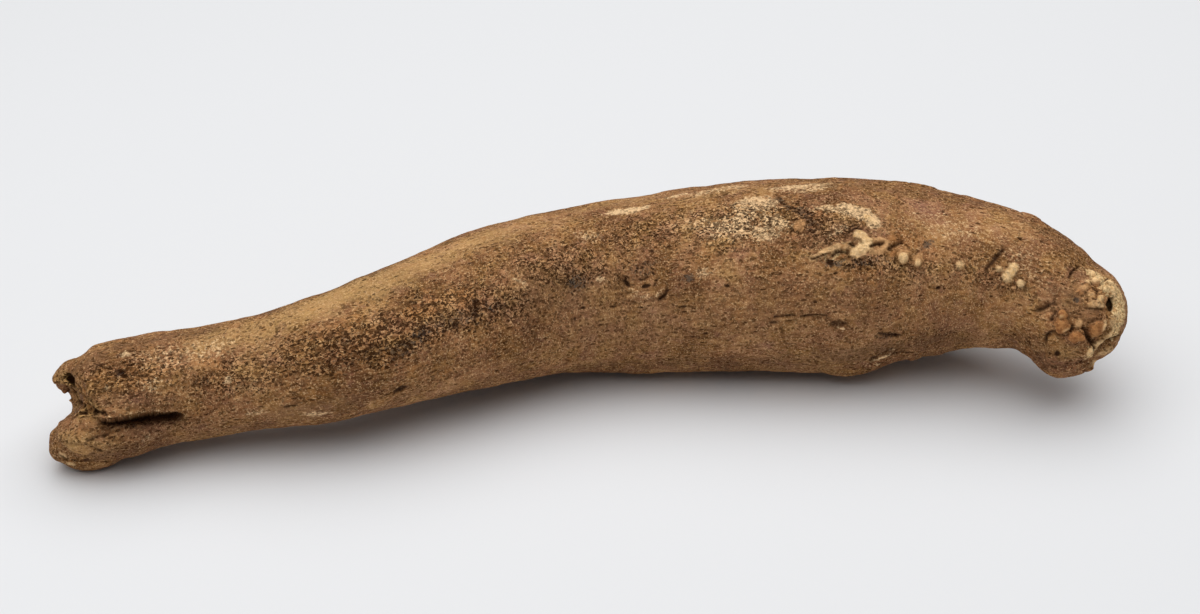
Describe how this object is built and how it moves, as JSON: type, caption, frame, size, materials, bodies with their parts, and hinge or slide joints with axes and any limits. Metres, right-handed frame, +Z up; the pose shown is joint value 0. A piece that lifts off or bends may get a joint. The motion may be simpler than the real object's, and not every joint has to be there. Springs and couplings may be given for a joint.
{
  "type": "fossil seal baculum",
  "caption": "Long curved fossil bone of a seal, with a cleft, broken base, a swollen middle and a knobbed tip, lying on its side.",
  "frame": {"origin": "on the surface the bone lies on, under the middle of its box", "axes": "+X along the bone from its cleft base to its knobbed tip, +Y towards the outside of its bow, +Z up from the surface"},
  "size_m": [0.2145, 0.0584, 0.0386],
  "materials": {
    "fossil_bone": "matte"
  },
  "bodies": {
    "root": {"baculum": "fossil_bone"}
  },
  "joints": []
}
